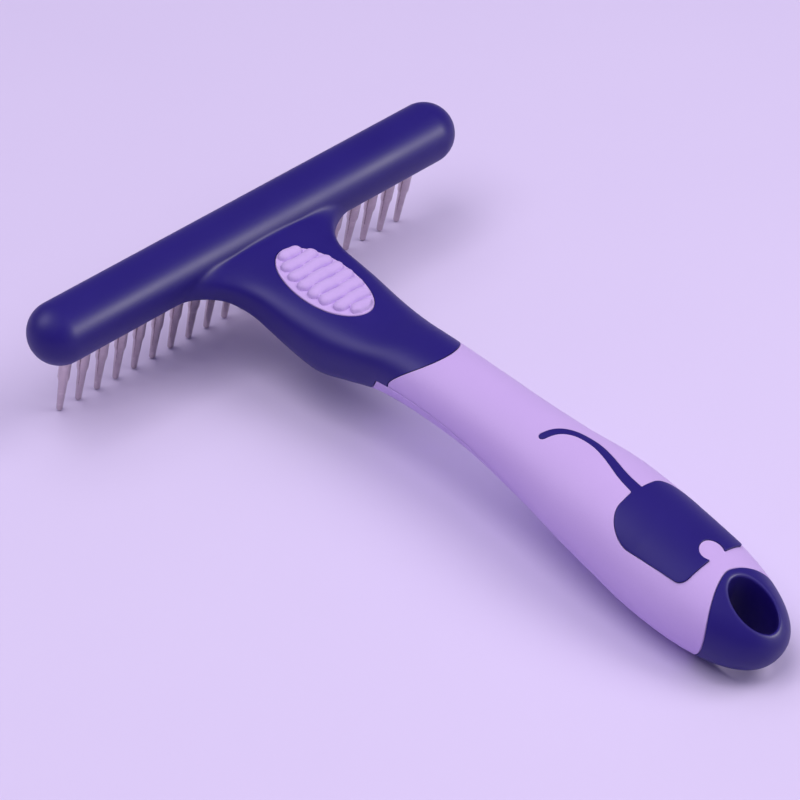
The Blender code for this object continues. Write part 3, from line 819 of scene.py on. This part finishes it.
def bar_field(points):
    """Distance out of a round rod with half-sphere ends, along x."""
    past = np.clip(np.abs(points[:, 0]) - (BAR_HALF - BAR_RADIUS), 0, None)
    return np.sqrt(past ** 2 + points[:, 1] ** 2 + points[:, 2] ** 2) - BAR_RADIUS


def head_field(points):
    """Bar joined to neck with a fillet that widens away from the top crease, and to the tang."""
    x, s, z = points.T
    fillet = CREASE_FILLET + SIDE_FILLET * ease(np.abs(x), 8, 17) + UNDER_FILLET * ease(-z, -1, 3)
    neck = trimmed(handle_field(points), s - NECK_END, NECK_EDGE)
    neck = np.maximum(neck, NECK_START - s)
    body = joined(bar_field(points), neck, fillet)
    flat = np.maximum(z - BAR_FLAT, s - FLAT_END)
    body = trimmed(body, -flat, FLAT_EDGE)
    tang = trimmed(handle_field(points, BED), s - TANG_END, TANG_EDGE)
    tang = np.maximum(tang, TANG_START - s)
    return joined(body, tang, TANG_BLEND)


def rings_of(radii, places, sides, direction):
    """Rings of these radii at these places along an axis: 0 for x, 1 for s, 2 for z."""
    angle = np.linspace(0, 2 * math.pi, sides, endpoint=False)
    circle = np.stack([np.cos(angle), np.sin(angle)], axis=1)
    round_about = np.asarray(radii)[:, None, None] * circle
    along = np.broadcast_to(np.asarray(places)[:, None, None], (len(radii), sides, 1))
    return np.insert(round_about, [direction], along, axis=2)


def stadium(half_length, half_width, count):
    """Long outline with round ends, along x."""
    middle = half_length - half_width
    radii = (half_width, half_width)
    return np.vstack([turn((middle, 0), radii, -90, 90, count),
                      turn((-middle, 0), radii, 90, 270, count)])


def stadium_prism(half_length, half_width, low, high):
    ring = stadium(half_length, half_width, 25)
    rings = np.stack([np.insert(ring, 2, height, axis=1) for height in (low, high)])
    return new_mesh("prism", tube(rings))


dome = np.linspace(0.02, math.pi / 2, 12)
bar_radii = BAR_RADIUS * np.concatenate([np.sin(dome), np.sin(dome)[::-1]])
round_end = BAR_HALF - BAR_RADIUS + BAR_RADIUS * np.cos(dome)
bar_places = np.concatenate([-round_end, round_end[::-1]])
circle = np.linspace(0, 2 * math.pi, 72, endpoint=False)
neck_rows = np.linspace(NECK_START, NECK_END, 60)[:, None]
tang_rows = np.linspace(TANG_START, TANG_END, 60)[:, None]
rough_head = new_mesh("rough_head", tube(rings_of(bar_radii, bar_places, 48, 0)),
                      tube(on_handle(neck_rows, circle)), tube(on_handle(tang_rows, circle, BED)))
head = moulded("head_frame_skin", rough_head, head_field, 0.45)

# %% Cuts in the head frame
PITCH = 5.0
LAST_PIN = 9.5 * PITCH
PLATE_END, PLATE_HALF, PLATE_TOP = LAST_PIN + 3.4, 2.7, -3.3
SEAT_MARGIN = 0.15       # from the plate's edge to its seat
FLANGE_BOTTOM, CHAMBER_TOP = -3.0, 0.2
CHAMBER_END, CHAMBER_HALF = LAST_PIN + 3.1, 2.5
PAD_CENTRE = (-0.25, 23.75)
PAD_RADII = (6.85, 13.1)
PAD_DEPTH = 1.6
pad_outline = evenly(turn(PAD_CENTRE, PAD_RADII, 0, 357, 120), 0.3, 0.05)


def seam_angles(count):
    """Angles round the handle, with a pair just either side of each parting line."""
    near = np.array([-0.001, 0.001])
    ends = np.concatenate([PARTING + near, math.pi - PARTING + near]) % (2 * math.pi)
    return np.union1d(np.linspace(0, 2 * math.pi, count, endpoint=False), ends)


round_collar = seam_angles(180)
collar_cut = ring_round(collar(round_collar) - SEAM / 2, np.full(round_collar.shape, NECK_END + 3),
                        round_collar, BED + 0.05)
pocket_outline = pad_outline + SEAM / 2 * outward(pad_outline)
pad_pocket = sheet_on_top(pocket_outline, 0.8, 0, 4.0, -PAD_DEPTH - 0.2)
plate_seat = stadium_prism(PLATE_END + SEAT_MARGIN, PLATE_HALF + SEAT_MARGIN, -12, FLANGE_BOTTOM)
chamber = stadium_prism(CHAMBER_END, CHAMBER_HALF, FLANGE_BOTTOM - 1, CHAMBER_TOP)
head = cut(head, collar_cut, pad_pocket, plate_seat, chamber)
head_frame = piece("head_frame_moulding", head, NAVY, "rake", "head_frame")

# %% [markdown]
# ## Thumb pad
# The pad is an oval of the same rubber as the grips, let into the top of the neck. Eight low
# ridges run across it, parallel to the bar. Each has a round back and round ends, and none
# is quite straight. A ridge's height depends only on the distance to its middle line, and
# the greatest of the eight heights is the pad's relief.

# %% Thumb pad
RIDGES = 8
RIDGE_PITCH = 3.15
RIDGE_HEIGHT = 1.15
RIDGE_HALF = 1.52        # from a ridge's middle line to its foot
RIDGE_END = 0.8          # from a ridge's end to the pad's outline
RIDGE_SHIFT = 0.3        # the ridges sit this far towards +x
LONG_WAVE, SHORT_WAVE = 0.16, 0.05   # how far a ridge wanders from its line
PAD_RISE = 0.15


def pad_relief(plan, inside):
    """The pad's rise, plus the greatest of eight round-topped, round-ended bars across it.

    A bar's height is its full height times the root of one less the square of the distance
    to its middle line over its half width.
    """
    x, s = (plan - PAD_CENTRE).T
    x = x - RIDGE_SHIFT
    height = np.zeros(len(plan))
    for k in range(RIDGES):
        middle = (k - (RIDGES - 1) / 2) * RIDGE_PITCH
        width = PAD_RADII[0] * math.sqrt(1 - (middle / PAD_RADII[1]) ** 2)
        straight = max(width - RIDGE_END - RIDGE_HALF, 0)
        wave = LONG_WAVE * np.sin(0.9 * x + 1.7 * k) + SHORT_WAVE * np.sin(2.3 * x + 2.9 * k)
        away = np.hypot(np.clip(np.abs(x) - straight, 0, None), s - middle - wave)
        arch = np.sqrt(np.clip(1 - (away / RIDGE_HALF) ** 2, 0, None))
        height = np.maximum(height, RIDGE_HEIGHT * arch)
    return PAD_RISE + height * ease(inside, 0.2, 0.7)


pad_edge = pad_outline - SEAM / 2 * outward(pad_outline)
pad_mesh = sheet_on_top(pad_edge, 0.16, 0.3, pad_relief, -PAD_DEPTH)
thumb_pad = piece("thumb_pad_rubber", pad_mesh, PAD_RUBBER, "rake", "thumb_pad")

# %% [markdown]
# ## Grips
# Each grip is a shell with a rounded lip all round. Its outside is the handle's own law on a
# grid of places and angles. The rows and columns crowd together near the four edges, and
# there the skin dips along a quarter circle, so that the seams catch the light as real
# moulded edges do. The inside is the same grid at the wall's depth.

# %% Grip shells
LIP = 0.30
SIDE_HEIGHT = 9.5        # half width that turns a length round the handle into an angle
lip_steps = LIP * (1 - np.cos(np.linspace(0, math.pi / 2, 6)))


def with_lips(count):
    """Spacing from one edge to another, with rows crowded at both.

    Gives each row's share of the way, the mm on top of that, and its distance to the nearer
    edge, which stays at LIP between the lips.
    """
    inner = np.linspace(0, 1, count)[1:-1]
    near, far = lip_steps, lip_steps[::-1]
    share = np.concatenate([0 * near, inner, 0 * far + 1])
    extra = np.concatenate([near, LIP * (1 - 2 * inner), -far])
    edge = np.concatenate([near, 0 * inner + LIP, far])
    return share, extra, edge


def grip_shell(first_line, sides, rows, columns):
    """Shell between a collar line and the cap line, and between the two sides of a place.

    The sides depend on the place and the lines on the angle, so both are worked out in turn.
    """
    row_share, row_extra, row_edge = (values[:, None] for values in with_lips(rows))
    column_share, column_extra, column_edge = with_lips(columns)
    places = np.full((len(row_share), len(column_share)), PARTING_START)
    for _ in range(6):
        low, high = sides(places)
        angles = low + (high - low) * column_share + column_extra / SIDE_HEIGHT
        first = first_line(angles[0]) + SEAM / 2
        last = cap_line(angles[-1]) - SEAM / 2
        places = first + (last - first) * row_share + row_extra
    dip = (LIP - row_edge) ** 2 + (LIP - column_edge) ** 2
    inset = LIP - np.sqrt(np.clip(LIP ** 2 - dip, 0, None))
    outer = on_handle(places, angles, inset)
    inner = on_handle(places, angles, WALL)
    index = np.arange(places.size).reshape(places.shape)
    rim = np.concatenate([index[0, :-1], index[:-1, -1], index[-1, :0:-1], index[:0:-1, 0]])
    after = np.roll(rim, -1)
    wall = np.stack([rim, after, after + index.size, rim + index.size], axis=1)
    faces = grid_faces(*places.shape)
    points = np.concatenate([outer.reshape(-1, 3), inner.reshape(-1, 3)])
    return new_mesh("grip", (points, [faces, faces[:, ::-1] + index.size, wall]))


def above(places):
    edge = parting(places) + SEAM / 2 / SIDE_HEIGHT
    return edge, math.pi - edge


def below(places):
    edge = parting(places) - SEAM / 2 / SIDE_HEIGHT
    return math.pi - edge, 2 * math.pi + edge


lower = grip_shell(lower_collar, below, 170, 70)
lower_grip = piece("lower_grip_rubber", lower, GRIP_RUBBER, "rake", "lower_grip")
upper = grip_shell(upper_collar, above, 170, 84)

# %% [markdown]
# ## Inlay
# A navy inlay decorates the upper grip: a plain rounded panel with a round notch in its back
# edge, and a slack stripe that leaves its front edge and ends in a hook. The outline goes
# round the panel by arcs, out along one side of the stripe and back along the other.

# %% Inlay outline
PANEL_FRONT, PANEL_BACK = 111.1, 132.0
PANEL_MIDDLE = 0.15
FRONT_HALF, BACK_HALF = 9.9, 8.7
FRONT_CORNER = (5.5, 8.0)
BACK_CORNERS = (1.8, 0.8)
NOTCH = (0.8, 130.5)
NOTCH_RADIUS = 2.6
STRIPE = np.array([(-3.1, 88.2), (-0.6, 89.0), (1.5, 90.7), (2.7, 93.3), (2.9, 96.5),
                   (2.3, 99.8), (1.1, 103.8), (0.1, 107.6), (-0.3, 111.9)])
STRIPE_HALF, STRIPE_ROOT = 0.82, 1.25


def stripe_sides():
    """Both sides of the stripe, from its hooked tip to the panel, and the round tip between."""
    knots = np.arange(len(STRIPE))
    fine = np.linspace(0, len(STRIPE) - 1, 120)
    centre = np.stack([blurred(through(knots, STRIPE[:, k], fine), 5) for k in (0, 1)], axis=1)
    centre = centre[centre[:, 1] < PANEL_FRONT - 0.05]
    along = np.gradient(centre, axis=0)
    along /= np.linalg.norm(along, axis=1)[:, None]
    normal = np.stack([along[:, 1], -along[:, 0]], axis=1)
    share = np.linspace(0, 1, len(centre))[:, None]
    half = STRIPE_HALF + (STRIPE_ROOT - STRIPE_HALF) * share ** 3
    lead = math.degrees(math.atan2(along[0, 1], along[0, 0]))
    tip = turn(centre[0], (STRIPE_HALF,) * 2, lead - 90, lead - 270, 12)
    return centre + half * normal, tip, centre - half * normal


def corner(side, radius, start, end, count):
    """Rounded back corner of the panel, on the side that the sign gives."""
    centre = (PANEL_MIDDLE + side * (BACK_HALF - radius), PANEL_BACK - radius)
    return turn(centre, (radius, radius), start, end, count)


def inlay_outline():
    """The panel by its corners, with the stripe in its front edge and the notch in its back."""
    right, tip, left = stripe_sides()
    reach = FRONT_HALF - FRONT_CORNER[0]
    front = PANEL_FRONT + FRONT_CORNER[1]
    mouth = math.degrees(math.asin((PANEL_BACK - NOTCH[1]) / NOTCH_RADIUS))
    return np.vstack([
        turn((PANEL_MIDDLE + reach, front), FRONT_CORNER, -5, -90, 16),
        right[::-1], tip, left,
        turn((PANEL_MIDDLE - reach, front), FRONT_CORNER, -90, -175, 16),
        corner(-1, BACK_CORNERS[0], 175, 90, 10),
        turn(NOTCH, (NOTCH_RADIUS, NOTCH_RADIUS), 180 - mouth, 360 + mouth, 40),
        corner(1, BACK_CORNERS[1], 90, 5, 10)])


inlay = evenly(inlay_outline(), 0.3, 0.14)
print("inlay outline:", len(inlay), "points,", np.ptp(inlay, axis=0).round(1), "mm across and long")

# %% Inlay and its pocket
INLAY_DEPTH, INLAY_RISE, INLAY_EDGE = 0.9, 0.04, 0.12
INLAY_GAP, POCKET_GAP = 0.03, 0.05   # inlay and pocket stand off from the outline
pocket = sheet_on_top(inlay + POCKET_GAP * outward(inlay), 0.9, 0, 3.0, -INLAY_DEPTH - 0.15)
upper = cut(upper, pocket)
upper_grip = piece("upper_grip_rubber", upper, GRIP_RUBBER, "rake", "upper_grip")
inlay_edge = inlay - INLAY_GAP * outward(inlay)
inlay_mesh = sheet_on_top(inlay_edge, 0.5, INLAY_EDGE, INLAY_RISE, -INLAY_DEPTH)
inlay_navy = navy_plastic("navy_inlay_plastic", 0.50)
grip_inlay = piece("grip_inlay_panel", inlay_mesh, inlay_navy, "rake", "grip_inlay")

# %% [markdown]
# ## End cap
# The cap is the egg-shaped end of the handle with the hanging hole through it, and a plug
# that goes forward under the grips. The hole is an oval tube, a little leaned, whose field is
# taken away from the handle's with a rounded edge: the bright ring round the hole is that edge.

# %% End cap
HOLE_RADII = (4.1, 5.9)
HOLE_PLACE = HANDLE_END - 8.1
HOLE_HEIGHT = 17.6
HOLE_RIM = 1.0
PLUG_FRONT, PLUG_EDGE = 125.6, 0.6
HOLE_LEAN = math.atan(BUTT_SLOPE)


def hole_field(points):
    """Distance out of an oval tube along its own ray, before its lean is undone."""
    x, s, z = points.T
    along = (s - HOLE_PLACE) * math.cos(HOLE_LEAN) + (z - HOLE_HEIGHT) * math.sin(HOLE_LEAN)
    out = np.hypot(x / HOLE_RADII[0], along / HOLE_RADII[1])
    return np.hypot(x, along) * (1 - 1 / np.maximum(out, 0.05))


def cap_field(points):
    body = trimmed(handle_field(points), PLUG_FRONT - points[:, 1], PLUG_EDGE)
    return trimmed(body, -hole_field(points), HOLE_RIM)


def hole_tube(sides=64):
    """Rough oval cutter through the butt, leaned as the hole is."""
    angle = np.linspace(0, 2 * math.pi, sides, endpoint=False)
    rings = []
    for height in np.linspace(-30, 30, 3):
        x = HOLE_RADII[0] * np.cos(angle)
        s = HOLE_PLACE + HOLE_RADII[1] * np.sin(angle) - height * math.tan(HOLE_LEAN)
        rings.append(np.column_stack([x, s, np.full(sides, HOLE_HEIGHT + height)]))
    return new_mesh("hole", tube(np.stack(rings)))


butt_turn = np.linspace(0, 0.97, 30) * math.pi / 2
butt_rows = WIDEST + BUTT_LENGTH * np.sin(butt_turn[butt_turn > 0.55]) ** (2 / BUTT_POWER)
butt_rows = np.concatenate([[PLUG_FRONT, PLUG_FRONT + 0.45], butt_rows])[:, None]
rough_cap = cut(new_mesh("rough_cap", tube(on_handle(butt_rows, circle))), hole_tube())
cap_mesh = moulded("end_cap_skin", rough_cap, cap_field, 0.32)
round_cap = np.linspace(0, 2 * math.pi, 180, endpoint=False)
cap_cut = ring_round(np.full(180, PLUG_FRONT - 2), cap_line(round_cap) + SEAM / 2, round_cap, BED)
end_cap = piece("end_cap_moulding", cut(cap_mesh, cap_cut), NAVY, "rake", "end_cap")

# %% [markdown]
# ## Pins
# A pin is a turned part, so its whole form is one profile carried round its axis: a stub and
# a flange inside the bar, a thick upper barrel, a sloping shoulder, a thin lower barrel and
# a round tip. The corners of the profile are rounded by the same running average as the
# outlines. Each pin rides on its own body, because each can turn.

# %% Pin profile
PIN_REACH = 26.35        # from the bar's axis to the tip
STUB_RADIUS, STUB_TOP = 0.8, -0.4
FLANGE_RADIUS, FLANGE_TOP = 2.0, -2.2
ROOT_RADIUS, WAIST_RADIUS, LOWER_RADIUS = 1.37, 1.27, 0.98
SHOULDER, SHOULDER_LENGTH = 9.1 - PIN_REACH, 1.3
TIP_RADIUS, TIP_LENGTH = 0.68, 0.42
PROFILE_FINE, PROFILE_POINTS, PROFILE_SOFTENING = 420, 64, 1.6
STRAIGHT_WORTH = 0.012   # what a straight stretch counts beside the sharpest bend


def thinned(line, count):
    """The points of a line that matter most: many where it bends, few where it is straight."""
    bend = np.linalg.norm(np.gradient(np.gradient(line, axis=0), axis=0), axis=1)
    worth = np.cumsum(bend + STRAIGHT_WORTH * bend.max())
    keep = np.searchsorted(worth, np.linspace(worth[0], worth[-1], count))
    return line[np.unique(np.clip(keep, 0, len(line) - 1))]


def pin_profile():
    """Radius and height of the pin from the stub's top down to the tip."""
    curve = np.linspace(math.pi / 2, 0.05, 8)
    tip = np.stack([TIP_RADIUS * np.sin(curve), TIP_LENGTH * (1 - np.cos(curve)) - PIN_REACH],
                   axis=1)
    corners = np.vstack([
        (0.05, STUB_TOP), (STUB_RADIUS, STUB_TOP), (STUB_RADIUS, FLANGE_TOP),
        (FLANGE_RADIUS, FLANGE_TOP), (FLANGE_RADIUS, FLANGE_BOTTOM), (ROOT_RADIUS, FLANGE_BOTTOM),
        (WAIST_RADIUS, SHOULDER + SHOULDER_LENGTH), (LOWER_RADIUS, SHOULDER), tip])
    length = travelled(corners)
    fine = np.linspace(0, length[-1], PROFILE_FINE)
    smooth = [blurred(np.interp(fine, length, corners[:, k]), PROFILE_SOFTENING) for k in (0, 1)]
    return thinned(np.stack(smooth, axis=1), PROFILE_POINTS)


profile = pin_profile()
print("pin profile:", len(profile), "points")

# %% Pins
for joint in pin_joints:
    x = (joint["pos_m"][0] - BAR_MIDDLE[0]) / MM
    rings = rings_of(profile[:, 0], profile[:, 1], 32, 2) + [x, 0, 0]
    name = joint["child"].replace("_body", "")
    pin = piece(f"{name}_turned", new_mesh(name, tube(rings)), STEEL, joint["child"], name)

# %% [markdown]
# ## Plate and strip
# The plate closes the bar from below, and the pins hang through its holes. Seen from below
# its round holes must be round, so it is drawn again with fine circles and the same flat
# triangulation. The strip over the pins can't be seen, so it keeps its frame mesh.

# %% Pin plate
PIN_HOLE = 1.67


def plate_mesh():
    """Plate with a round-ended edge and a row of holes, each with its own wall."""
    pins = (np.arange(20) - 9.5) * PITCH
    outlines = [stadium(PLATE_END, PLATE_HALF, 33)]
    outlines += [turn((x, 0), (PIN_HOLE, PIN_HOLE), 0, 350, 36) for x in pins]
    ends = np.cumsum([len(outline) for outline in outlines])
    loops = [range(end - len(outline), end) for end, outline in zip(ends, outlines)]
    flat, triangles = triangulated(np.vstack(outlines), loops)
    centres = flat[triangles].mean(axis=1)
    away = np.abs(centres[:, None, 0] - pins).min(axis=1)
    triangles = triangles[np.hypot(away, centres[:, 1]) > PIN_HOLE * 0.99]
    top, bottom = (np.insert(flat, 2, height, axis=1) for height in (PLATE_TOP, BAR_FLAT))
    return slab("plate", top, bottom, triangles)


plate = piece("pin_plate_moulding", plate_mesh(), NAVY, "rake", "pin_plate")
strip = frame["nodes"]["pin_strip"]
strip.data.materials.clear()
strip.data.materials.append(NAVY)
print("strip keeps its frame mesh, with", strip.data.materials[0].name)

# %% [markdown]
# ## Floor
# One wide sheet in the colour of pale paper, at the height of the pin tips.

# %% Floor


def paper(name):
    finish = Finish(name, Roughness=0.85, Specular_IOR_Level=0.2)
    clouds = finish.noise(60.0, detail=2.0)
    colour = finish.mix(clouds, (0.645, 0.55, 0.845, 1), (0.665, 0.57, 0.86, 1))
    return finish.feed(Base_Color=colour)


FLOOR_REACH = 4.0
FLOOR_HEIGHT = cad_box[0][2] - 0.0001
square = [(x * FLOOR_REACH, y * FLOOR_REACH, FLOOR_HEIGHT)
          for x, y in ((-1, -1), (1, -1), (1, 1), (-1, 1))]
floor_mesh = bpy.data.meshes.new("floor")
floor_mesh.from_pydata(square, [], [(0, 1, 2, 3)])
floor = bpy.data.objects.new("floor", floor_mesh)
floor.data.materials.append(paper("pale_paper"))
bpy.context.scene.collection.objects.link(floor)
print("floor at", round(FLOOR_HEIGHT, 5), "m")
